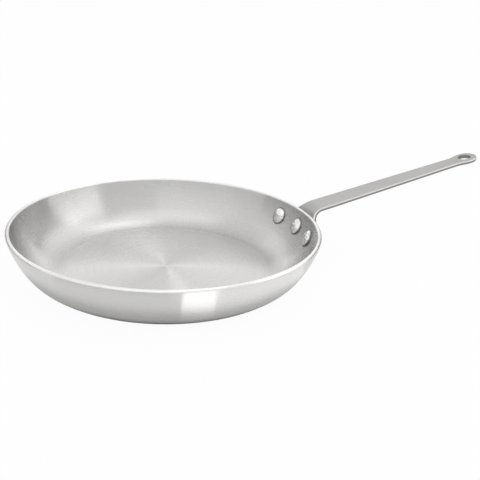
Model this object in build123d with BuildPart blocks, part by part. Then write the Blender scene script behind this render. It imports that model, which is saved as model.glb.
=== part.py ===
from build123d import *
from math import acos, asin, cos, degrees, radians, sin
import os

os.makedirs("parts", exist_ok=True)

# Millimetres and degrees. The origin is the centre of the flat underside of the base,
# +Z is up and +X runs from the pan's axis towards the handle.

# Pan: a flat round base, a soft heel and a flared side of larger radius
rim_diameter = 304.8
pan_height = 49.0
wall_thickness = 4.1
heel_radius = 39.5
heel_sweep = 56.0
side_radius = 101.0
rim_outer_round = 1.8
rim_inner_round = 0.8

# Three rivets in a level row below the rim, square to the side.
# The outer two keep their inset from the ends of the handle's foot.
rivet_drop = 16.1
rivet_inset = 12.45
rivet_names = ("rivet_left", "rivet_centre", "rivet_right")
shank_diameter = 8.0
head_diameter = 20.0
head_height = 4.8
tail_diameter = 14.0
tail_height = 3.2
rivet_clearance = 0.05
dome_overlap = 0.8

# Handle: one flat strap with a wide foot behind the side and an eye at the far end.
# The arm's lift is its height over the rim, and the eye's offset its distance from the rim.
strap_thickness = 4.2
seat_clearance = 0.05
seat_rise = 7.0
foot_width = 94.0
foot_drop = 13.5
foot_rise = 12.0
foot_corner_radius = 9.0
foot_shoulder = 5.65
bend_radius = 18.0
arm_slope = 12.7
arm_lift = 4.5
arm_root_width = 25.7
arm_end_width = 17.5
taper_offset = 4.0
taper_blend_radius = 300.0
eye_offset = 196.0
eye_diameter = 23.8
eye_stretch = 3.5
eye_blend_radius = 30.0
hang_hole_diameter = 13.0
edge_round = 1.1
trim_margin = 12.0

# Centres of the two outer arcs of the pan's section, as distance from the axis and height
rim_radius = rim_diameter / 2
rivet_height = pan_height - rivet_drop
heel_top = heel_radius * (1 - cos(radians(heel_sweep)))
side_centre_height = heel_top + side_radius * cos(radians(heel_sweep))
side_end = degrees(acos((side_centre_height - pan_height) / side_radius))
rim_spread = (1 + cos(radians(side_end))) / sin(radians(side_end)) - 1
corner_radius = rim_radius + rim_outer_round * rim_spread
side_centre_reach = corner_radius - side_radius * sin(radians(side_end))
base_radius = side_centre_reach + (side_radius - heel_radius) * sin(radians(heel_sweep))
inner_side_radius = side_radius - wall_thickness
inner_side_end = degrees(acos((side_centre_height - pan_height) / inner_side_radius))

# Angles of the rivets and of the top of the seat on the side arc, measured from straight down
down_angle = -90.0
rivet_tilt = degrees(acos((side_centre_height - rivet_height) / inner_side_radius))
seat_radius = side_radius + seat_clearance
seat_top_tilt = rivet_tilt + degrees(seat_rise / side_radius)
strap_start_tilt = rivet_tilt - degrees((foot_drop + trim_margin) / side_radius)
grip = wall_thickness + seat_clearance + strap_thickness
rivet_reach = side_centre_reach + inner_side_radius * sin(radians(rivet_tilt))
rivet_angle_step = degrees(asin((foot_width / 2 - rivet_inset) / rivet_reach))


def on_side_arc(radius, tilt):
    """Point of the pan's section at an angle on an arc about the side's centre."""
    reach = side_centre_reach + radius * sin(radians(tilt))
    height = side_centre_height - radius * cos(radians(tilt))
    return reach, height


def rivet_directions(angle):
    """Sideways direction and outward axis of the rivet at an angle round the pan."""
    across = Vector(-sin(radians(angle)), cos(radians(angle)), 0)
    flat = sin(radians(rivet_tilt))
    outward = Vector(
        flat * cos(radians(angle)),
        flat * sin(radians(angle)),
        -cos(radians(rivet_tilt)),
    )
    return across, outward


def rivet_origin(angle):
    """Point where the rivet's axis leaves the inner face of the side."""
    reach, height = on_side_arc(inner_side_radius, rivet_tilt)
    return Vector(reach * cos(radians(angle)), reach * sin(radians(angle)), height)


def cross_plane(angle):
    """Plane square to the rivet's axis on the inner face of the side."""
    across, outward = rivet_directions(angle)
    return Plane(origin=rivet_origin(angle), x_dir=across, z_dir=outward)


def section_plane(angle):
    """Plane through the rivet's axis, with local Y along the axis."""
    across, outward = rivet_directions(angle)
    return Plane(origin=rivet_origin(angle), x_dir=across, z_dir=across.cross(outward))


rivet_angles = [rivet_angle_step * step for step in (-1, 0, 1)]
hole_radius = shank_diameter / 2 + rivet_clearance

# Pan body, one spun shell with three rivet holes
with BuildPart() as pan_body:
    with BuildSketch(Plane.XZ) as pan_section:
        with BuildLine():
            underside = Line((0, 0), (base_radius, 0))
            heel = JernArc(underside @ 1, (1, 0), heel_radius, heel_sweep)
            side = JernArc(heel @ 1, heel % 1, side_radius, side_end - heel_sweep)
            inner_rim = on_side_arc(inner_side_radius, inner_side_end)
            Line(side @ 1, inner_rim)
            CenterArc(
                (side_centre_reach, side_centre_height),
                inner_side_radius,
                down_angle + inner_side_end,
                heel_sweep - inner_side_end,
            )
            inner_heel = CenterArc(
                (base_radius, heel_radius),
                heel_radius - wall_thickness,
                down_angle + heel_sweep,
                -heel_sweep,
            )
            floor_face = Line(inner_heel @ 1, (0, wall_thickness))
            Line(floor_face @ 1, (0, 0))
        make_face()
        rim_corners = pan_section.vertices().group_by(Axis.Y)[-1].sort_by(Axis.X)
        fillet(rim_corners[-1], radius=rim_outer_round)
        fillet(rim_corners[0], radius=rim_inner_round)
    revolve(axis=Axis.Z)
    for rivet_angle in rivet_angles:
        with BuildSketch(cross_plane(rivet_angle)):
            Circle(hole_radius)
        extrude(amount=2 * wall_thickness, both=True, mode=Mode.SUBTRACT)
pan_body.part.label = "pan_body"
export_step(pan_body.part, "parts/pan_body.step")

# Line of the arm's top face and the corner where it meets the line of the seat
arm_height = pan_height + arm_lift
slope_run = cos(radians(arm_slope))
slope_rise = sin(radians(arm_slope))
seat_end = on_side_arc(seat_radius, seat_top_tilt)
seat_run = cos(radians(seat_top_tilt))
seat_climb = sin(radians(seat_top_tilt))
to_arm_reach = rim_radius - seat_end[0]
to_arm_height = arm_height - seat_end[1]
seat_straight = (to_arm_height * slope_run - to_arm_reach * slope_rise) / (
    seat_climb * slope_run - seat_run * slope_rise
)
corner = (
    seat_end[0] + seat_straight * seat_run,
    seat_end[1] + seat_straight * seat_climb,
)
strap_end_reach = rim_radius + eye_offset + eye_diameter
strap_end = (
    strap_end_reach,
    arm_height + (strap_end_reach - rim_radius) * slope_rise / slope_run,
)
foot_half_angle = degrees((foot_width / 2 + trim_margin) / rim_radius)

# Bent strap, a section turned about the pan's axis before it is cut to its outline
with BuildPart() as strap_blank:
    with BuildSketch(Plane.XZ.rotated((0, 0, -foot_half_angle))):
        with BuildLine():
            CenterArc(
                (side_centre_reach, side_centre_height),
                seat_radius,
                down_angle + strap_start_tilt,
                seat_top_tilt - strap_start_tilt,
            )
            FilletPolyline(seat_end, corner, strap_end, radius=bend_radius)
            offset(amount=strap_thickness, side=Side.RIGHT)
        make_face()
    revolve(axis=Axis.Z, revolution_arc=2 * foot_half_angle)

# Outlines: the arm is cut square to its own slope and the foot square to the side
arm_direction = Vector(slope_run, 0, slope_rise)
arm_normal = Vector(-slope_rise, 0, slope_run)
arm_start = Vector(0, 0, arm_height - rim_radius * slope_rise / slope_run)
arm_plane = Plane(origin=arm_start, x_dir=arm_direction, z_dir=arm_normal)
across, outward = rivet_directions(0)
foot_centre = rivet_origin(0) + outward * (wall_thickness + seat_clearance)
foot_plane = Plane(origin=foot_centre, x_dir=across, z_dir=outward)

# Flare of the foot into its stem, and where the stem's end leaves the underside of the arm
foot_flare_radius = (foot_width - arm_root_width) / 2 - foot_corner_radius - foot_shoulder
stem_height = foot_flare_radius + seat_clearance
stem_top = foot_centre + foot_plane.y_dir * (foot_rise + stem_height)
underside_start = arm_start - arm_normal * strap_thickness
stem_drop = (underside_start - stem_top).dot(arm_normal) / outward.dot(arm_normal)
stem_end = (stem_top + outward * stem_drop - underside_start).dot(arm_direction)

# Distances along the arm's own slope, from the point above the pan's axis
root_start = (corner[0] - trim_margin) / slope_run
taper_from = stem_end + taper_offset
eye_from = (rim_radius + eye_offset) / slope_run

# Handle, the strap cut to both outlines, then rounded and drilled
with BuildPart() as handle:
    with BuildSketch(arm_plane) as arm_outline:
        with BuildLine():
            Polyline(
                (root_start, -arm_root_width / 2),
                (taper_from, -arm_root_width / 2),
                (eye_from, -arm_end_width / 2),
                (eye_from, arm_end_width / 2),
                (taper_from, arm_root_width / 2),
                (root_start, arm_root_width / 2),
                close=True,
            )
        make_face()
        shoulders = arm_outline.vertices().filter_by_position(Axis.X, taper_from, taper_from)
        fillet(shoulders, radius=taper_blend_radius)
        with Locations((eye_from, 0)):
            SlotCenterToCenter(eye_stretch, eye_diameter)
        hollows = arm_outline.vertices().filter_by_position(
            Axis.X, eye_from - eye_diameter, eye_from - eye_stretch
        )
        fillet(hollows, radius=eye_blend_radius)
    extrude(amount=foot_width, both=True)
    with BuildSketch(foot_plane) as foot_outline:
        with Locations((0, (foot_rise - foot_drop) / 2)):
            RectangleRounded(foot_width, foot_rise + foot_drop, foot_corner_radius)
        with Locations((0, foot_rise)):
            Rectangle(arm_root_width, stem_height, align=(Align.CENTER, Align.MIN))
        inside_corners = foot_outline.vertices().filter_by_position(
            Axis.Y, foot_rise - seat_clearance, foot_rise + seat_clearance
        )
        inside_corners = inside_corners.sort_by(lambda corner: abs(corner.X))[:2]
        fillet(inside_corners, radius=foot_flare_radius)
    extrude(amount=foot_width / 2, both=True)
    add(strap_blank.part, mode=Mode.INTERSECT)
    broad_kinds = (GeomType.CONE, GeomType.TORUS, GeomType.REVOLUTION)
    broad_faces = handle.faces().filter_by(lambda face: face.geom_type in broad_kinds)
    edge_faces = handle.faces().filter_by(lambda face: face.geom_type not in broad_kinds)
    fillet(broad_faces.edges() & edge_faces.edges(), radius=edge_round)
    with BuildSketch(arm_plane):
        with Locations((eye_from, 0)):
            Circle(hang_hole_diameter / 2)
    extrude(amount=2 * strap_thickness, both=True, mode=Mode.SUBTRACT)
    for rivet_angle in rivet_angles:
        with BuildSketch(cross_plane(rivet_angle)):
            Circle(hole_radius)
        extrude(amount=2 * grip, both=True, mode=Mode.SUBTRACT)
handle.part.label = "handle"
export_step(handle.part, "parts/handle.step")

# Stack that the rivets clamp, with clearance on both sides, to shape the undersides of the heads
with BuildPart() as clamped_stack:
    with BuildSketch(Plane.XZ.rotated((0, 0, -foot_half_angle))):
        with BuildLine():
            stack_start = rivet_tilt - degrees(head_diameter / side_radius)
            stack_sweep = 2 * (rivet_tilt - stack_start)
            stack_centre = (side_centre_reach, side_centre_height)
            inner_reach = inner_side_radius - seat_clearance
            outer_reach = inner_side_radius + grip + seat_clearance
            inside = CenterArc(stack_centre, inner_reach, down_angle + stack_start, stack_sweep)
            outside = CenterArc(stack_centre, outer_reach, down_angle + stack_start, stack_sweep)
            Line(inside @ 0, outside @ 0)
            Line(inside @ 1, outside @ 1)
        make_face()
    revolve(axis=Axis.Z, revolution_arc=2 * foot_half_angle)

# Rivets: a domed head inside the pan, a shank and a lower dome closed over the foot
dome_sizes = (
    (head_diameter, 0, -head_height),
    (tail_diameter, grip - dome_overlap, grip + tail_height),
)
for rivet_name, rivet_angle in zip(rivet_names, rivet_angles):
    with BuildPart() as rivet:
        with BuildSketch(section_plane(rivet_angle)):
            for dome_diameter, base, crown in dome_sizes:
                with BuildLine():
                    dome_arc = TangentArc((0, crown), (dome_diameter / 2, base), tangent=(1, 0))
                    base_line = Line(dome_arc @ 1, (0, base))
                    Line(base_line @ 1, (0, crown))
                make_face()
        revolve(axis=Axis(rivet_origin(rivet_angle), rivet_directions(rivet_angle)[1]))
        add(clamped_stack.part, mode=Mode.SUBTRACT)
        with BuildSketch(cross_plane(rivet_angle).offset(-dome_overlap)):
            Circle(shank_diameter / 2)
        extrude(amount=grip + 2 * dome_overlap)
    rivet.part.label = rivet_name
    export_step(rivet.part, "parts/" + rivet_name + ".step")
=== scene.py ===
import math

import bmesh
import bpy
from mathutils import Matrix, Vector, geometry


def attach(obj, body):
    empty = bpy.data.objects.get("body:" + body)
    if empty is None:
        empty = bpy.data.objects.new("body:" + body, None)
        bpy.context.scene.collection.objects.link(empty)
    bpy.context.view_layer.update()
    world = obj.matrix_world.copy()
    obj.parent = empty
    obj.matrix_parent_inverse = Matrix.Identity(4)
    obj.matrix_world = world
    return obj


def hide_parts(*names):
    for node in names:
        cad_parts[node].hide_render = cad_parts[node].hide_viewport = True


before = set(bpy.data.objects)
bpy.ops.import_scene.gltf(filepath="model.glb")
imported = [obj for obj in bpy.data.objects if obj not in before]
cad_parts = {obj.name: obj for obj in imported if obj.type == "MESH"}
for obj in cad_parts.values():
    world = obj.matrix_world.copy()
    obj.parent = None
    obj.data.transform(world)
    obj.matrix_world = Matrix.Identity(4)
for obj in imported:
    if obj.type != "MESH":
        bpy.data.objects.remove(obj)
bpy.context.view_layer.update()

mm = 0.001  # the pieces' own sizes are in millimetres, the stage's in metres
quarter = math.pi / 2
print("frame loaded:", ", ".join(sorted(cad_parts)))


# a socket as a value in a Python expression, for shader and geometry trees
class Value:
    def __init__(self, tree, socket):
        self.tree = tree
        self.socket = socket

    def maths(self, operation, *others):
        made = self.tree.nodes.new("ShaderNodeMath")
        made.operation = operation
        for slot, item in zip(made.inputs, (self,) + others):
            if isinstance(item, Value):
                self.tree.links.new(item.socket, slot)
            else:
                slot.default_value = item
        return Value(self.tree, made.outputs[0])

    # 0 up to the start, then rising to 1 over the fade
    def ramp(self, start, fade):
        return ((self - start) / fade).maths("MAXIMUM", 0.0).maths("MINIMUM", 1.0)

    def __add__(self, other):
        return self.maths("ADD", other)

    def __sub__(self, other):
        return self.maths("SUBTRACT", other)

    def __mul__(self, other):
        return self.maths("MULTIPLY", other)

    def __truediv__(self, other):
        return self.maths("DIVIDE", other)

    def __neg__(self):
        return self * -1.0

    def __rsub__(self, other):
        return -self + other

    def __rtruediv__(self, other):
        return self.maths("POWER", -1.0) * other

    __radd__ = __add__


# a node tree that is written down node by node
class Tree:
    def __init__(self, tree):
        self.tree = tree

    # sockets are given by name without spaces, or as slot0, slot1 and so on
    def node(self, kind, settings=None, **sockets):
        made = self.tree.nodes.new(kind)
        for name, setting in (settings or {}).items():
            setattr(made, name, setting)
        for name, item in sockets.items():
            if name[:4] == "slot":
                slot = made.inputs[int(name[4:])]
            else:
                slot = [s for s in made.inputs if s.enabled and s.name.replace(" ", "") == name][0]
            if isinstance(item, Value):
                item = item.socket
            if isinstance(item, bpy.types.NodeSocket):
                self.tree.links.new(item, slot)
            else:
                slot.default_value = item
        return made

    def value(self, kind, settings=None, output=0, **sockets):
        return Value(self.tree, self.node(kind, settings, **sockets).outputs[output])

    def flatPoint(self, x, y):
        return self.value("ShaderNodeCombineXYZ", X=x, Y=y)

    def split(self, vector):
        parts = self.node("ShaderNodeSeparateXYZ", Vector=vector)
        return [Value(self.tree, s) for s in parts.outputs]

    def mixed(self, amount, first, second, blend="MIX"):
        settings = {"data_type": "RGBA", "blend_type": blend}
        mix = self.node("ShaderNodeMix", settings, Factor=amount, A=first, B=second)
        return [s for s in mix.outputs if s.enabled][0]

    def end(self, kind, socket):
        self.tree.links.new(socket, self.node(kind).inputs[0])


# pan body: its section is turned about the axis by geometry nodes
pan = {
    "Rim Radius": 152.4,
    "Height": 49.0,
    "Wall": 4.1,
    "Heel Radius": 39.5,
    "Heel Sweep": 56.0,  # degrees
    "Side Radius": 101.0,
    "Outer Round": 1.8,
    "Inner Round": 0.8,
}
panSteps = {"turns": 320, "heel": 20, "side": 18, "outer": 12, "inner": 10}
turning = {
    "hoop": 100.0,  # radius of the ring that a section is swept along
    "weld": 0.01,
}


def startTree(name, sizes, counts=(), vectors=()):
    group = bpy.data.node_groups.new(name, "GeometryNodeTree")
    for label in sizes:
        group.interface.new_socket(label, in_out="INPUT", socket_type="NodeSocketFloat")
    for label in counts:
        group.interface.new_socket(label, in_out="INPUT", socket_type="NodeSocketInt")
    for label in vectors:
        group.interface.new_socket(label, in_out="INPUT", socket_type="NodeSocketVector")
    group.interface.new_socket("Finish", in_out="INPUT", socket_type="NodeSocketMaterial")
    group.interface.new_socket("Geometry", in_out="OUTPUT", socket_type="NodeSocketGeometry")
    tree = Tree(group)
    entry = tree.node("NodeGroupInput")
    inputs = {s.name: Value(group, s) for s in entry.outputs if s.name}
    return tree, inputs


def endTree(tree, shape, finish):
    real = tree.node("GeometryNodeRealizeInstances", Geometry=shape)
    dressed = tree.node("GeometryNodeSetMaterial", Geometry=real.outputs[0], Material=finish)
    tree.end("NodeGroupOutput", dressed.outputs[0])
    return tree.tree


def arcOf(tree, centreX, centreZ, radius, start, sweep, steps):
    bent = tree.node("GeometryNodeCurveArc", {"mode": "RADIUS"}, Resolution=steps,
                     Radius=radius, StartAngle=start, SweepAngle=sweep)
    shift = tree.flatPoint(centreX, centreZ)
    return tree.node("GeometryNodeTransform", Geometry=bent.outputs[0], Translation=shift).outputs[0]


def runOf(tree, startX, startZ, endX, endZ):
    return tree.node("GeometryNodeCurvePrimitiveLine", Start=tree.flatPoint(startX, startZ),
                     End=tree.flatPoint(endX, endZ)).outputs[0]


# sweeps section curves, drawn with X as the distance from the axis and Y as the height, round Z
def turnSection(tree, curves, turns):
    hoop = turning["hoop"] * mm
    joined = tree.node("GeometryNodeJoinGeometry")
    for curve in curves:
        tree.tree.links.new(curve, joined.inputs[0])
    shifted = tree.node("GeometryNodeTransform", Geometry=joined.outputs[0],
                        Translation=(-hoop, 0, 0), Scale=(1, -1, 1))
    ring = tree.node("GeometryNodeCurvePrimitiveCircle", {"mode": "RADIUS"}, Resolution=turns, Radius=hoop)
    upright = tree.node("GeometryNodeSetCurveNormal", {"mode": "Z_UP"}, Curve=ring.outputs[0])
    swept = tree.node("GeometryNodeCurveToMesh", Curve=upright.outputs[0], ProfileCurve=shifted.outputs[0])
    return tree.node("GeometryNodeMergeByDistance", Geometry=swept.outputs[0],
                     Distance=turning["weld"] * mm).outputs[0]


def panTree():
    tree, size = startTree("turnedPan", pan, counts=("Turns",))
    rim, height, wall = size["Rim Radius"], size["Height"], size["Wall"]
    heel, sweep, side = size["Heel Radius"], size["Heel Sweep"], size["Side Radius"]
    outer, inner = size["Outer Round"], size["Inner Round"]
    cosSweep, sinSweep = sweep.maths("COSINE"), sweep.maths("SINE")
    centreZ = heel * (1 - cosSweep) + side * cosSweep
    sideEnd = ((centreZ - height) / side).maths("ARCCOSINE")
    spread = (1 + sideEnd.maths("COSINE")) / sideEnd.maths("SINE") - 1
    centreX = rim + outer * spread - side * sideEnd.maths("SINE")
    baseEdge = centreX + (side - heel) * sinSweep
    # the two small arcs that round the rim, each touching its side arc and the flat top
    outerEnd = ((centreZ - height + outer) / (side - outer)).maths("ARCCOSINE")
    outerX = centreX + (side - outer) * outerEnd.maths("SINE")
    within = side - wall
    innerEnd = ((centreZ - height + inner) / (within + inner)).maths("ARCCOSINE")
    innerX = centreX + (within + inner) * innerEnd.maths("SINE")
    curves = [
        runOf(tree, 0.0, 0.0, baseEdge, 0.0),
        arcOf(tree, baseEdge, heel, heel, -quarter, sweep, panSteps["heel"]),
        arcOf(tree, centreX, centreZ, side, sweep - quarter, outerEnd - sweep, panSteps["side"]),
        arcOf(tree, outerX, height - outer, outer, outerEnd - quarter, math.pi - outerEnd, panSteps["outer"]),
        runOf(tree, outerX, height, innerX, height),
        arcOf(tree, innerX, height - inner, inner, quarter, innerEnd, panSteps["inner"]),
        arcOf(tree, centreX, centreZ, within, innerEnd - quarter, sweep - innerEnd, panSteps["side"]),
        arcOf(tree, baseEdge, heel, heel - wall, sweep - quarter, -sweep, panSteps["heel"]),
        runOf(tree, baseEdge, wall, 0.0, wall),
    ]
    return endTree(tree, turnSection(tree, curves, size["Turns"]), size["Finish"])


# mends and smooths a mesh, and counts the edges that don't join two faces
def cleanMesh(mesh):
    sliver = 1e-7
    form = bmesh.new()
    form.from_mesh(mesh)
    bmesh.ops.dissolve_degenerate(form, dist=sliver, edges=form.edges)
    bmesh.ops.recalc_face_normals(form, faces=form.faces)
    loose = [e for e in form.edges if len(e.link_faces) != 2]
    form.to_mesh(mesh)
    form.free()
    mesh.shade_smooth()
    return len(loose)


def growPiece(name, group, settings, finish):
    obj = bpy.data.objects.new(name, bpy.data.meshes.new(name))
    bpy.context.scene.collection.objects.link(obj)
    modifier = obj.modifiers.new("grow", "NODES")
    modifier.node_group = group
    for item in group.interface.items_tree:
        if item.in_out == "INPUT":
            wanted = finish if item.name == "Finish" else settings[item.name]
            modifier[item.identifier] = wanted
    obj.data.update()
    bpy.context.view_layer.update()
    grown = bpy.data.meshes.new_from_object(obj.evaluated_get(bpy.context.evaluated_depsgraph_get()))
    obj.modifiers.clear()
    obj.data = grown
    grown.name = name
    print(name, "grown:", len(grown.polygons), "faces, open edges:", cleanMesh(grown))
    return obj


def inMetres(sizes, angles=()):
    return {k: math.radians(v) if k in angles else v * mm for k, v in sizes.items()}


# where the side's arc has its centre, worked out once for the strap and the rivets
def sideArc():
    sweep = math.radians(pan["Heel Sweep"])
    centreZ = pan["Heel Radius"] * (1 - math.cos(sweep)) + pan["Side Radius"] * math.cos(sweep)
    sideEnd = math.acos((centreZ - pan["Height"]) / pan["Side Radius"])
    spread = (1 + math.cos(sideEnd)) / math.sin(sideEnd) - 1
    corner = pan["Rim Radius"] + pan["Outer Round"] * spread
    return corner - pan["Side Radius"] * math.sin(sideEnd), centreZ


sideX, sideZ = sideArc()
innerSide = pan["Side Radius"] - pan["Wall"]

# handle: a flat outline, bent along the strap's line
strap = {
    "thickness": 4.2,
    "seatGap": 0.05,
    "seatRise": 7.0,
    "footWidth": 94.0,
    "footDrop": 13.5,
    "footRise": 12.0,
    "footCorner": 9.0,
    "footFlare": 19.5,
    "bend": 18.0,
    "slope": 12.7,  # degrees
    "lift": 4.5,  # over the rim, at the rim's edge
    "rootWidth": 25.7,
    "endWidth": 17.5,
    "taperOffset": 4.0,
    "taperBlend": 300.0,
    "eyeOffset": 196.0,  # from the rim's edge
    "eyeWidth": 23.8,
    "eyeStretch": 3.5,
    "eyeBlend": 30.0,
    "holeWidth": 13.0,
    "edgeRound": 1.1,
    "holeRound": 0.6,
}
strapSteps = {
    "edge": 1.5,
    "hole": 0.7,
    "bow": 15,  # degrees between the rings of a rounded edge
    "rows": 31,  # of inner points, on each side of the middle
    "clearShare": 0.8,  # of a step, kept free beside the edges
    "same": 1e-4,  # points closer than this are one point
    "merge": 1e-5,  # the same for the triangles of the sheet
}
# lengths along the strap that are searched, and how often each answer is refined
search = {"from": -30.0, "to": 260.0, "halvings": 40, "rounds": 20}

# rivets: turned, then hammered into facets; the strap's line starts at their row
rivets = {
    "height": 32.9,
    "turn": 14.0,  # degrees
    "Head Radius": 10.0,
    "Head Height": 4.8,
    "Tail Radius": 7.0,
    "Tail Height": 3.2,
    "Shank Radius": 4.0,
    "Facet Size": 4.2,
    "Facet Depth": 0.75,
}
facets = {
    "spread": 0.8,
    "level": 0.3,  # where the push turns from inward to outward
    "headFrom": 0.02,  # how far out of the metal the facets start
    "tailFrom": 0.3,
    "firstSeed": 3.0,
    "seedStep": 5.3,
}
rivetSteps = {"turns": 72, "dome": 28}
skirt = 0.4 * mm  # straight edge between a dome and its flat underside

rivetTilt = math.acos((sideZ - rivets["height"]) / innerSide)
slope = math.radians(strap["slope"])
seatRadius = pan["Side Radius"] + strap["seatGap"]
seatTop = rivetTilt + strap["seatRise"] / pan["Side Radius"]


def seatPoint(tilt, radius):
    return sideX + radius * math.sin(tilt), sideZ - radius * math.cos(tilt)


# the seat's end, and lengths along the strap from the rivets to that and to both ends of the bend
def strapLine():
    endX, endZ = seatPoint(seatTop, seatRadius)
    acrossX, acrossZ = pan["Rim Radius"] - endX, pan["Height"] + strap["lift"] - endZ
    straight = (acrossZ * math.cos(slope) - acrossX * math.sin(slope)) / math.sin(seatTop - slope)
    tangent = strap["bend"] * math.tan((seatTop - slope) / 2)
    seatLength = (seatTop - rivetTilt) * seatRadius
    bendStart = seatLength + straight - tangent
    return endX, endZ, seatLength, bendStart, bendStart + strap["bend"] * (seatTop - slope)


lineX, lineZ, seatLength, bendStart, bendEnd = strapLine()


# distance from the axis, height and slope angle of the strap's upper face at a length
def onStrap(length):
    if length <= seatLength:
        tilt = rivetTilt + length / seatRadius
        return seatPoint(tilt, seatRadius) + (tilt,)
    run = min(length, bendStart) - seatLength
    x, z, tilt = lineX + run * math.cos(seatTop), lineZ + run * math.sin(seatTop), seatTop
    if length > bendStart:
        tilt = max(seatTop - (length - bendStart) / strap["bend"], slope)
        x += strap["bend"] * (math.sin(seatTop) - math.sin(tilt))
        z += strap["bend"] * (math.cos(tilt) - math.cos(seatTop))
        run = max(length - bendEnd, 0.0)
        x, z = x + run * math.cos(slope), z + run * math.sin(slope)
    return x, z, tilt


# the point of the bent sheet that lies at a length, a distance aside and a depth
def onSheet(length, y, depth):
    x, z, tilt = onStrap(length)
    x, z = x + depth * math.sin(tilt), z - depth * math.cos(tilt)
    return Vector((math.sqrt(x * x - y * y), y, z)) * mm


def solveLength(measure, target):
    low, high = search["from"], search["to"]
    for _ in range(search["halvings"]):
        middle = (low + high) / 2
        low, high = (middle, high) if measure(middle) < target else (low, middle)
    return (low + high) / 2


# the sheet's flat coordinates of a point that is measured square to the rivets
def fromFoot(y, rise):
    startX, startZ = seatPoint(rivetTilt, seatRadius)

    def measure(length):
        x, z, _ = onStrap(length)
        x = math.sqrt(x * x - y * y)
        return (x - startX) * math.cos(rivetTilt) + (z - startZ) * math.sin(rivetTilt)
    return Vector((solveLength(measure, rise), y))


# height of the arm's line over the pan's axis, and distance along it to the eye's hole
groundZ = pan["Height"] + strap["lift"] - pan["Rim Radius"] * math.tan(slope)
eyeAt = (pan["Rim Radius"] + strap["eyeOffset"]) / math.cos(slope)


# the sheet's flat coordinates of a point that is measured along the arm's line
def fromArm(along, y):
    def measure(length):
        x, z, _ = onStrap(length)
        x = math.sqrt(x * x - y * y)
        return x * math.cos(slope) + (z - groundZ) * math.sin(slope)
    return Vector((solveLength(measure, along), y))


def arcPoints(centre, radius, start, end, step):
    count = max(3, math.ceil(abs(end - start) * radius / step))
    turns = [start + (end - start) * i / count for i in range(count + 1)]
    return [(centre[0] + radius * math.cos(t), centre[1] + radius * math.sin(t)) for t in turns]


def linePoints(start, end, step):
    count = max(1, math.ceil(math.dist(start, end) / step))
    return [tuple(a + (b - a) * i / count for a, b in zip(start, end)) for i in range(count + 1)]


# where the foot's stem ends on the underside of the arm, which is where the taper may start
def stemEnd():
    top = Vector(seatPoint(rivetTilt, seatRadius))
    rise = strap["footRise"] + strap["footFlare"] + strap["seatGap"]
    top += Vector((math.cos(rivetTilt), math.sin(rivetTilt))) * rise
    outward = Vector((math.sin(rivetTilt), -math.cos(rivetTilt)))
    normal = Vector((-math.sin(slope), math.cos(slope)))
    under = Vector((0.0, groundZ)) - normal * strap["thickness"]
    drop = (under - top).dot(normal) / outward.dot(normal)
    return (top + outward * drop - under).dot(Vector((math.cos(slope), math.sin(slope))))


# half of the foot's outline, from the middle of its lower edge up to the arm
def footPoints(step, root):
    wide, low, high = strap["footWidth"] / 2, -strap["footDrop"], strap["footRise"]
    corner, flare = strap["footCorner"], strap["footFlare"]
    foot = linePoints((0, low), (wide - corner, low), step)
    foot += arcPoints((wide - corner, low + corner), corner, -quarter, 0, step)
    foot += arcPoints((wide - corner, high - corner), corner, 0, quarter, step)
    foot += linePoints((wide - corner, high), (root + flare, high), step)
    return foot + arcPoints((root + flare, high + flare), flare, -quarter, -2 * quarter, step)


# half of the arm: straight root, long blend into the taper, blend into the eye, half the eye
def armPoints(step, root):
    startAt, half = stemEnd() + strap["taperOffset"], strap["eyeStretch"] / 2
    narrow, eye, blend = strap["endWidth"] / 2, strap["eyeWidth"] / 2, strap["eyeBlend"]
    taper = math.atan((root - narrow) / (eyeAt - startAt))
    wideBlend = strap["taperBlend"]
    reach = wideBlend * math.tan(taper / 2)
    arm = arcPoints((startAt - reach, root - wideBlend), wideBlend, quarter, quarter - taper, step)
    behind = 0.0
    for _ in range(search["rounds"]):
        side = narrow + (behind + half) * math.tan(taper) + blend / math.cos(taper)
        behind = math.sqrt((eye + blend) ** 2 - side ** 2)
    hollow = (eyeAt - half - behind, side)
    meet = (hollow[0] - blend * math.sin(taper), hollow[1] - blend * math.cos(taper))
    arm += linePoints(arm[-1], meet, step)
    turned = math.atan2(-hollow[1], behind)
    arm += arcPoints(hollow, blend, -quarter - taper, turned, step)
    arm += arcPoints((eyeAt - half, 0), eye, math.pi + turned, quarter, step)
    return arm + arcPoints((eyeAt + half, 0), eye, quarter, 0, step)


# the same closed line with its points a step apart
def evenLoop(points, step):
    closed = [p for i, p in enumerate(points) if (p - points[i - 1]).length > strapSteps["same"]]
    spans = [(closed[(i + 1) % len(closed)] - p).length for i, p in enumerate(closed)]
    count = round(sum(spans) / step)
    gap, made, along, i = sum(spans) / count, [], 0.0, 0
    for n in range(count):
        while along + spans[i] < n * gap:
            along += spans[i]
            i += 1
        made.append(closed[i].lerp(closed[(i + 1) % len(closed)], (n * gap - along) / spans[i]))
    return made


# the same loop moved to its own left by an amount
def insetLoop(points, amount):
    moved = []
    for i, point in enumerate(points):
        run = (points[(i + 1) % len(points)] - points[i - 1]).normalized()
        moved.append(point + Vector((-run.y, run.x)) * amount)
    return moved


# the strap's outline and its hole, in the sheet's flat coordinates
def strapLoops():
    step, root = strapSteps["edge"], strap["rootWidth"] / 2
    half = [fromFoot(y, rise) for y, rise in footPoints(step, root)]
    half += [fromArm(along, y) for along, y in armPoints(step, root)]
    outline = evenLoop(half + [Vector((p.x, -p.y)) for p in reversed(half)], step)
    area = sum(a.x * b.y - b.x * a.y for a, b in zip(outline, outline[1:] + outline[:1]))
    outline = outline if area > 0 else outline[::-1]
    circle = arcPoints((eyeAt, 0), strap["holeWidth"] / 2, 0, -2 * math.pi, strapSteps["hole"])
    return outline, [fromArm(*p) for p in circle[:-1]]


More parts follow.
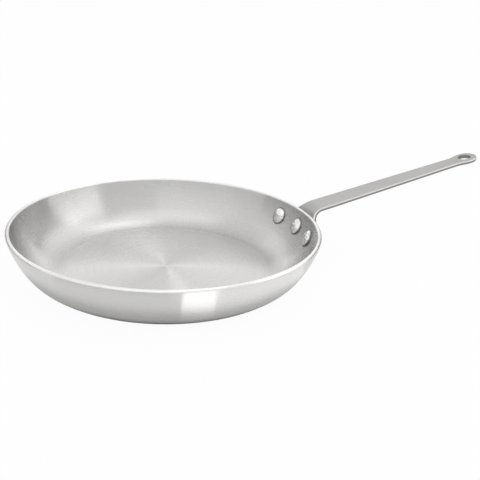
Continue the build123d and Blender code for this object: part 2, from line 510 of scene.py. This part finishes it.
# points inside the outline, clear of the hole and of the points on the edges
def innerSpots(outline, hole, edgeSpots):
    step, middle = strapSteps["edge"], sum(hole, Vector((0, 0))) / len(hole)
    clear = strapSteps["clearShare"] * step
    lengths = [p.x for p in outline]
    columns = int((max(lengths) - min(lengths)) / step)
    spots = []
    for i in range(1, columns):
        for j in range(-strapSteps["rows"], strapSteps["rows"] + 1):
            spot = Vector((min(lengths) + i * step, j * step + 0.5 * step * (i % 2)))
            inHole = (spot - middle).length < strap["holeWidth"] / 2
            if not inHole and all((spot - p).length > clear for p in edgeSpots):
                spots.append(spot)
    return spots


# inset and depth of each ring of points round an edge, from the top face to the under face
def edgeLevels(rounding):
    bows = [math.radians(strapSteps["bow"] * n) for n in range(1, 90 // strapSteps["bow"] + 1)]
    levels = [(rounding * (1 - math.sin(b)), rounding * (1 - math.cos(b))) for b in bows]
    return levels + [(inset, strap["thickness"] - depth) for inset, depth in reversed(levels)]


def handleMesh():
    thick = strap["thickness"]
    outline, hole = strapLoops()
    flat, edges = [], []
    for loop, rounding in ((outline, strap["edgeRound"]), (hole, strap["holeRound"])):
        start = len(flat)
        flat += insetLoop(loop, rounding)
        edges += [(start + i, start + (i + 1) % len(loop)) for i in range(len(loop))]
    rim = len(flat)
    flat += innerSpots(outline, hole, flat)
    spots, _, faces, origins, _, _ = geometry.delaunay_2d_cdt(flat, edges, [], 2, strapSteps["merge"])
    place = {old: new for new, olds in enumerate(origins) for old in olds}
    aroundHole = {place[i] for i in range(len(outline), rim)}
    form = bmesh.new()
    # the depth places the painted edge highlight and the painted shade underneath
    layer = form.verts.layers.float.new("depth")  # how far under the top face, for the finish

    def corner(p, depth, extra=0.0):
        vert = form.verts.new(onSheet(p.x, p.y, depth))
        vert[layer] = (depth + extra) * mm
        return vert

    upper = [corner(p, 0.0) for p in spots]
    lower = [corner(p, thick) for p in spots]
    for face in [f for f in faces if not aroundHole.issuperset(f)]:
        form.faces.new([upper[i] for i in face])
        form.faces.new([lower[i] for i in reversed(face)])
    start = 0
    # the hole's wall counts as deeper by one thickness, so it takes the painted shade of the strap's
    # underside
    for loop, rounding, extra in ((outline, strap["edgeRound"], 0.0), (hole, strap["holeRound"], thick)):
        rings = [[upper[place[start + i]] for i in range(len(loop))]]
        for inset, depth in edgeLevels(rounding):
            rings.append([corner(p, depth, extra) for p in insetLoop(loop, inset)])
        rings.append([lower[place[start + i]] for i in range(len(loop))])
        for above, below in zip(rings, rings[1:]):
            for i in range(len(loop)):
                k = (i + 1) % len(loop)
                form.faces.new((above[i], below[i], below[k], above[k]))
        start += len(loop)
    for vert in [v for v in form.verts if not v.link_faces]:
        form.verts.remove(vert)
    mesh = bpy.data.meshes.new("handleStrap")
    form.to_mesh(mesh)
    form.free()
    return mesh


# the section of a dome on the axis: way -1 bulges down from its base, way 1 bulges up
def domeOf(tree, radius, height, base, way):
    ball = (radius * radius + height * height) / (height * 2.0)
    reach = (radius / ball).maths("ARCSINE")
    centre = base + (height - ball) * way
    return arcOf(tree, 0.0, centre, ball, quarter * way, reach * -way, rivetSteps["dome"])


def rivetTree():
    sizes = [k for k in rivets if k.istitle()] + ["Grip", "Seed"]
    tree, size = startTree("hammeredRivet", sizes, ("Turns",), ("Place", "Turn"))
    grip, shank = size["Grip"], size["Shank Radius"]
    head, tail = size["Head Radius"], size["Tail Radius"]
    over = grip - skirt
    curves = [
        domeOf(tree, head, size["Head Height"], 0.0, -1.0),
        runOf(tree, head, 0.0, head, skirt),
        runOf(tree, head, skirt, shank, skirt),
        runOf(tree, shank, skirt, shank, over),
        runOf(tree, shank, over, tail, over),
        domeOf(tree, tail, size["Tail Height"] + skirt, over, 1.0),
    ]
    shape = turnSection(tree, curves, size["Turns"])
    # each cell of a seeded pattern is pushed out to a flat, as a hammer leaves it
    spot = tree.node("GeometryNodeInputPosition").outputs[0]
    wide, deep, height = tree.split(spot)
    cells = tree.value("ShaderNodeTexVoronoi", {"voronoi_dimensions": "4D"}, Vector=spot, W=size["Seed"],
                       Scale=1.0 / size["Facet Size"], Randomness=facets["spread"])
    push = (cells * cells - facets["level"]) * size["Facet Depth"]
    onHead = height.maths("LESS_THAN", -facets["headFrom"] * mm)
    onTail = height.maths("GREATER_THAN", grip + facets["tailFrom"] * mm)
    normal = tree.node("GeometryNodeInputNormal").outputs[0]
    offset = tree.node("ShaderNodeVectorMath", {"operation": "SCALE"}, Vector=normal,
                       Scale=push * (onHead + onTail))
    shape = tree.node("GeometryNodeSetPosition", Geometry=shape, Offset=offset.outputs[0]).outputs[0]
    # the distance from the axis as a share of the head's radius, which places the painted shade ring
    share = (wide * wide + deep * deep).maths("SQRT") / head
    shape = tree.node("GeometryNodeStoreNamedAttribute", {"data_type": "FLOAT", "domain": "POINT"},
                      Geometry=shape, Name="share", Value=share).outputs[0]
    turned = tree.node("GeometryNodeTransform", Geometry=shape, Translation=size["Place"],
                       Rotation=size["Turn"])
    return endTree(tree, turned.outputs[0], size["Finish"])


# finishes: a grain is the scale and detail of a noise, and shares say how grains add up to a tone
finishes = {
    "pan": {
        "colour": (0.68, 0.675, 0.665, 1),
        "roughness": 0.27,
        "anisotropy": 1.0,
        "grainTurn": 0.25,
        "fine": (1400.0, 3.0),
        "bands": (130.0, 2.0),
        "clouds": (22.0, 3.0),
        "heightShare": 0.8,  # how fast the rings follow the height, beside the distance from the axis
        "shares": (0.1, 0.25, 0.65),
        "tones": (0.94, 1.06),
        "roughBands": 0.05,
        "roughClouds": 0.04,
        "bump": 0.02,
        "bumpDepth": 0.2 * mm,
    },
    # painted highlight: the rim's near-white colour is painted on the lip where its edge catches the light
    "rim": {"colour": (0.95, 0.945, 0.935, 1), "below": 1.5 * mm, "fade": 0.5 * mm},
    "handle": {
        "colour": (0.45, 0.445, 0.435, 1),
        "roughness": 0.38,
        "anisotropy": 0.3,
        "drawn": (30.0, 900.0, 500.0),
        "grain": (1.0, 3.0),
        "clouds": (60.0, 3.0),
        "shares": (0.5, 0.5),
        "tones": (0.93, 1.07),
        "roughGrain": 0.1,
        "roughClouds": 0.08,
        "bump": 0.1,
        "bumpDepth": 0.2 * mm,
    },
    # painted highlight: the strap's rounded upper edge is painted paler, from 0.1 mm under the top face
    # downwards
    "wornCorner": {"tone": 1.65, "from": 0.1 * mm, "fade": 0.3 * mm},
    # painted shade: the strap's lower edge, its underside and the hole's wall are painted darker
    "shearedEdge": {"tone": 0.33, "from": 1.4 * mm, "fade": 0.5 * mm},
    "rivet": {
        "colour": (0.9, 0.9, 0.89, 1),
        "roughness": 0.17,
        "anisotropy": 0.0,
        "pits": (900.0, 4.0),
        "clouds": (160.0, 2.0),
        "shares": (0.5, 0.5),
        "tones": (0.88, 1.08),
        "roughClouds": 0.16,
        "bump": 0.2,
        "bumpDepth": 0.3 * mm,
    },
    # painted shade: a dark ring is painted round the outer part of each rivet's head
    "rivetEdge": {"tone": 0.18, "from": 0.78, "fade": 0.1},
}


def emptyMaterial(name):
    made = bpy.data.materials.new(name)
    made.use_nodes = True
    made.node_tree.nodes.clear()
    return made, Tree(made.node_tree)


def startFinish(name):
    made, tree = emptyMaterial(name)
    return made, tree, tree.node("ShaderNodeTexCoord").outputs["Object"]


def noiseAt(tree, where, grain):
    scale, detail = grain
    return tree.value("ShaderNodeTexNoise", None, Vector=where, Scale=scale, Detail=detail)


def noiseAlong(tree, along, grain):
    scale, detail = grain
    return tree.value("ShaderNodeTexNoise", {"noise_dimensions": "1D"}, W=along, Scale=scale, Detail=detail)


def metal(tree, look, colour, roughness, height, tangent=None):
    bump = tree.node("ShaderNodeBump", Strength=look["bump"], Distance=look["bumpDepth"], Height=height)
    shader = tree.node("ShaderNodeBsdfPrincipled", BaseColor=colour, Roughness=roughness,
                       Metallic=1.0, Normal=bump.outputs[0], Anisotropic=look["anisotropy"])
    if tangent:
        tree.tree.links.new(tangent, shader.inputs["Tangent"])
        shader.inputs["Anisotropic Rotation"].default_value = look["grainTurn"]
    tree.end("ShaderNodeOutputMaterial", shader.outputs[0])


# the look's own colour, between its darker and its paler tone by the grains' shares
def tinted(tree, look, *grains):
    parts = [grain * share for grain, share in zip(grains, look["shares"])]
    amount = sum(parts[1:], parts[0])
    dark, pale = (tuple(min(c * tone, 1.0) for c in look["colour"][:3]) + (1,) for tone in look["tones"])
    return tree.mixed(amount, dark, pale)


# another tone where the mesh's own attribute passes a limit
def retoned(tree, colour, name, look):
    value = tree.value("ShaderNodeAttribute", {"attribute_name": name}, 2)
    grey = (look["tone"],) * 3 + (1,)
    return tree.mixed(value.ramp(look["from"], look["fade"]), colour, grey, "MULTIPLY")


def spunAluminium():
    look, rim = finishes["pan"], finishes["rim"]
    made, tree, where = startFinish("spunAluminium")
    x, y, z = tree.split(where)
    along = (x * x + y * y).maths("SQRT") + z * look["heightShare"]
    fine, bands = noiseAlong(tree, along, look["fine"]), noiseAlong(tree, along, look["bands"])
    clouds = noiseAt(tree, where, look["clouds"])
    colour = tinted(tree, look, fine, bands, clouds)
    # painted highlight: from just under its top, the lip is painted near white where its top and rounded
    # edges catch the light
    lip = z.ramp(pan["Height"] * mm - rim["below"], rim["fade"])
    colour = tree.mixed(lip, colour, rim["colour"])
    roughness = look["roughness"] + (bands - 0.5) * look["roughBands"] + (clouds - 0.5) * look["roughClouds"]
    tangent = tree.node("ShaderNodeTangent", {"direction_type": "RADIAL", "axis": "Z"})
    metal(tree, look, colour, roughness, fine + bands, tangent.outputs[0])
    return made


def platedSteel():
    look = finishes["handle"]
    made, tree, where = startFinish("platedSteel")
    drawn = tree.value("ShaderNodeMapping", Vector=where, Scale=look["drawn"])
    grain, clouds = noiseAt(tree, drawn, look["grain"]), noiseAt(tree, where, look["clouds"])
    colour = tinted(tree, look, grain, clouds)
    # painted highlight on the strap's rounded upper edge, then painted shade on its lower edge, underside and
    # the hole's wall
    colour = retoned(tree, colour, "depth", finishes["wornCorner"])
    colour = retoned(tree, colour, "depth", finishes["shearedEdge"])
    roughness = look["roughness"] + (grain - 0.5) * look["roughGrain"] + (clouds - 0.5) * look["roughClouds"]
    metal(tree, look, colour, roughness, grain)
    return made


def hammeredAluminium():
    look = finishes["rivet"]
    made, tree, where = startFinish("hammeredAluminium")
    pits, clouds = noiseAt(tree, where, look["pits"]), noiseAt(tree, where, look["clouds"])
    colour = tinted(tree, look, pits, clouds)
    # painted shade: the outer part of the head is painted darker
    colour = retoned(tree, colour, "share", finishes["rivetEdge"])
    metal(tree, look, colour, look["roughness"] + (clouds - 0.5) * look["roughClouds"], pits)
    return made


def finishPiece(obj, node):
    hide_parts(node)
    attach(obj, "root")


panFinish, handleFinish, rivetFinish = spunAluminium(), platedSteel(), hammeredAluminium()
print("finishes made:", ", ".join(f.name for f in (panFinish, handleFinish, rivetFinish)))

panSizes = {**inMetres(pan, ("Heel Sweep",)), "Turns": panSteps["turns"]}
panBody = growPiece("panBody", panTree(), panSizes, panFinish)
finishPiece(panBody, "pan_body")

handleStrap = bpy.data.objects.new("handleStrap", handleMesh())
bpy.context.scene.collection.objects.link(handleStrap)
handleStrap.data.materials.append(handleFinish)
print("handleStrap made, open edges:", cleanMesh(handleStrap.data))
finishPiece(handleStrap, "handle")

rivetGroup = rivetTree()
rivetSizes = inMetres({k: v for k, v in rivets.items() if k.istitle()})
rivetSizes["Grip"] = (pan["Wall"] + strap["seatGap"] + strap["thickness"]) * mm
rivetNames = (("rivetLeft", "rivet_left"), ("rivetCentre", "rivet_centre"), ("rivetRight", "rivet_right"))
startX, startZ = seatPoint(rivetTilt, innerSide)
for count, (name, node) in enumerate(rivetNames):
    turn = math.radians(rivets["turn"]) * (count - 1)
    place = (startX * mm * math.cos(turn), startX * mm * math.sin(turn), startZ * mm)
    settings = {**rivetSizes, "Seed": facets["firstSeed"] + facets["seedStep"] * count,
                "Turns": rivetSteps["turns"], "Place": place, "Turn": (0.0, math.pi - rivetTilt, turn)}
    finishPiece(growPiece(name, rivetGroup, settings, rivetFinish), node)

# stage: floor, room, panels, lamps and camera
stage = {
    "floorColour": (0.9, 0.9, 0.9, 1),
    "floorGlow": 0.96,  # share of plain white that the camera sees
    "floorMirrored": 0.9,  # the same share in reflections
    "floorSize": 30.0,
    "floorSides": 96,
    "roomLight": 0.8,
    "panelDistance": 1.6,
    "panelColumns": 48,
    "panelRows": 6,
    "cardLift": 0.0004,
}


def seenBy(tree, camera, mirror):
    path = tree.node("ShaderNodeLightPath")
    names = ("Is Camera Ray", "Is Glossy Ray", "Is Transmission Ray")
    seen, glossy, through = (Value(tree.tree, path.outputs[n]) for n in names)
    return (seen * camera + glossy * mirror + through * mirror).maths("MINIMUM", 1.0)


def stagePiece(name, form, material):
    mesh = bpy.data.meshes.new(name)
    form.to_mesh(mesh)
    form.free()
    mesh.materials.append(material)
    obj = bpy.data.objects.new(name, mesh)
    bpy.context.scene.collection.objects.link(obj)
    return obj


def makeFloor():
    form = bmesh.new()
    bmesh.ops.create_circle(form, cap_ends=True, radius=stage["floorSize"], segments=stage["floorSides"])
    made, tree = emptyMaterial("paleFloor")
    paint = tree.node("ShaderNodeBsdfDiffuse", Color=stage["floorColour"])
    glow = tree.node("ShaderNodeEmission", Color=(1, 1, 1, 1), Strength=1.0)
    share = seenBy(tree, stage["floorGlow"], stage["floorMirrored"])
    mix = tree.node("ShaderNodeMixShader", slot0=share, slot1=paint.outputs[0], slot2=glow.outputs[0])
    tree.end("ShaderNodeOutputMaterial", mix.outputs[0])
    stagePiece("floor", form, made)


def makeRoom():
    world = bpy.data.worlds.new("paleRoom")
    bpy.context.scene.world = world
    world.use_nodes = True
    world.node_tree.nodes.clear()
    tree = Tree(world.node_tree)
    seen = seenBy(tree, 1.0, 1.0)
    level = seen + (1.0 - seen) * stage["roomLight"]
    glow = tree.node("ShaderNodeBackground", Color=(1, 1, 1, 1), Strength=level)
    tree.end("ShaderNodeOutputWorld", glow.outputs[0])


# panels that only the metal reflects: turn and rise in degrees seen from the object, or for
# those on the floor their reach from the pan's axis or their corners, with a level of grey
panels = {
    "frontLow": {"turn": (-94, 3), "rise": (-3, 10), "level": 1.4},
    "frontHigh": {"turn": (-94, 3), "rise": (10, 24), "level": 0.6},
    "frontTop": {"turn": (-94, 3), "rise": (42, 65), "level": 0.82},
    "frontLeft": {"turn": (-94, -42), "rise": (24, 42), "level": 0.82},
    "rightCard": {"turn": (-42, 3), "rise": (24, 42), "level": 1.85},
    "sideFlag": {"turn": (3, 48), "rise": (-3, 24), "level": 0.24},
    "backFlag": {"turn": (48, 165), "rise": (-3, 10), "level": 0.03},
    "backCard": {"turn": (58, 92), "rise": (10, 26), "level": 1.18},
    "farLeft": {"turn": (70, 165), "rise": (42, 65), "level": 0.85},
    "farRight": {"turn": (3, 52), "rise": (24, 65), "level": 1.15},
    "topCard": {"turn": (52, 70), "rise": (50, 62), "level": 2.6},
    "zenith": {"turn": (-180, 180), "rise": (68, 90), "level": 1.2},
    "leftFlag": {"turn": (92, 266), "rise": (10, 24), "level": 0.5},
    "footShade": {"turn": (0, 360), "reach": (0.106, 0.13), "level": 0.03},
    "wallShade": {"turn": (0, 360), "reach": (0.13, 0.15), "level": 0.5},
    "leftShade": {"turn": (-160, -104), "reach": (0.19, 0.28), "level": 0.7},
    "patchCard": {
        "corners": ((-0.029, -0.152), (0.008, -0.152), (0.095, -0.43), (-0.044, -0.43)),
        "level": 1.75,
    },
    "patchEdge": {"turn": (-86, -30), "reach": (0.15, 0.22), "level": 1.2},
}


def glowing(name, level):
    made, tree = emptyMaterial(name)
    glow = tree.node("ShaderNodeEmission", Color=(1, 1, 1, 1), Strength=level)
    tree.end("ShaderNodeOutputMaterial", glow.outputs[0])
    return made


# the point of a panel at a share of the way across and a share of the way up
def panelPoint(panel, across, up):
    if "corners" in panel:
        a, b, c, d = (Vector(corner) for corner in panel["corners"])
        return a.lerp(b, across).lerp(d.lerp(c, across), up).to_3d() + Vector((0, 0, stage["cardLift"]))
    low, high = panel.get("rise", panel.get("reach"))
    turn = math.radians(panel["turn"][0] + (panel["turn"][1] - panel["turn"][0]) * across)
    level = low + (high - low) * up
    if "reach" in panel:
        return Vector((math.cos(turn) * level, math.sin(turn) * level, stage["cardLift"]))
    rise = math.radians(level)
    return Vector((math.cos(rise) * math.cos(turn), math.cos(rise) * math.sin(turn),
                   math.sin(rise))) * stage["panelDistance"]


def makePanels():
    wide, tall = stage["panelColumns"], stage["panelRows"]
    for name, panel in panels.items():
        form = bmesh.new()
        spots = [[panelPoint(panel, j / wide, i / tall) for j in range(wide + 1)] for i in range(tall + 1)]
        rows = [[form.verts.new(spot) for spot in row] for row in spots]
        for low, high in zip(rows, rows[1:]):
            for j in range(wide):
                form.faces.new((low[j], low[j + 1], high[j + 1], high[j]))
        obj = stagePiece(name, form, glowing(name, panel["level"]))
        obj.visible_camera = obj.visible_diffuse = obj.visible_shadow = obj.visible_transmission = False


lamps = {
    "overhead": {"place": (0.3, 0.1, 2.4), "aim": (0.0, 0.0, 0.0), "size": (2.2, 2.2), "power": 6.0},
}


def aimed(place, aim):
    return (Vector(aim) - Vector(place)).to_track_quat("-Z", "Y").to_matrix().to_4x4()


def makeLamps():
    for name, lamp in lamps.items():
        light = bpy.data.lights.new(name, "AREA")
        light.shape = "RECTANGLE"
        light.size, light.size_y = lamp["size"]
        light.energy = lamp["power"]
        obj = bpy.data.objects.new(name, light)
        obj.matrix_world = Matrix.Translation(lamp["place"]) @ aimed(lamp["place"], lamp["aim"])
        obj.visible_camera = obj.visible_glossy = False
        bpy.context.scene.collection.objects.link(obj)


shot = {
    "azimuth": -16.5,
    "elevation": 20.62,
    "distance": 712.4,
    "roll": 0.82,
    "lens": 54.0,
    "middle": (-73.1, -16.4),  # where the rim's centre falls, in pixels from the frame's centre
    "frame": 480,
    "clip": (0.01, 50.0),
}


def makeCamera():
    data = bpy.data.cameras.new("photoCamera")
    data.lens = shot["lens"]
    data.clip_start, data.clip_end = shot["clip"]
    camera = bpy.data.objects.new("photoCamera", data)
    bpy.context.scene.collection.objects.link(camera)
    turn, rise = math.radians(shot["azimuth"]), math.radians(shot["elevation"])
    back = Vector((math.sin(turn) * math.cos(rise), -math.cos(turn) * math.cos(rise), math.sin(rise)))
    right = Vector((math.cos(turn), math.sin(turn), 0.0))
    basis = Matrix((right, back.cross(right), back)).transposed()
    pixels = shot["frame"] * shot["lens"] / data.sensor_width
    sight = Vector((shot["middle"][0], -shot["middle"][1], -pixels))
    swing = sight.rotation_difference(Vector((0, 0, -1))).to_matrix()
    tilt = Matrix.Rotation(math.radians(shot["roll"]), 3, "Z")
    place = Vector((0, 0, pan["Height"] * mm)) + back * shot["distance"] * mm
    camera.matrix_world = Matrix.Translation(place) @ (basis @ tilt @ swing).to_4x4()
    bpy.context.scene.camera = camera


makeFloor()
makeRoom()
makePanels()
makeLamps()
makeCamera()
bpy.context.scene.view_settings.view_transform = "Standard"
print("stage, lamps and camera set")
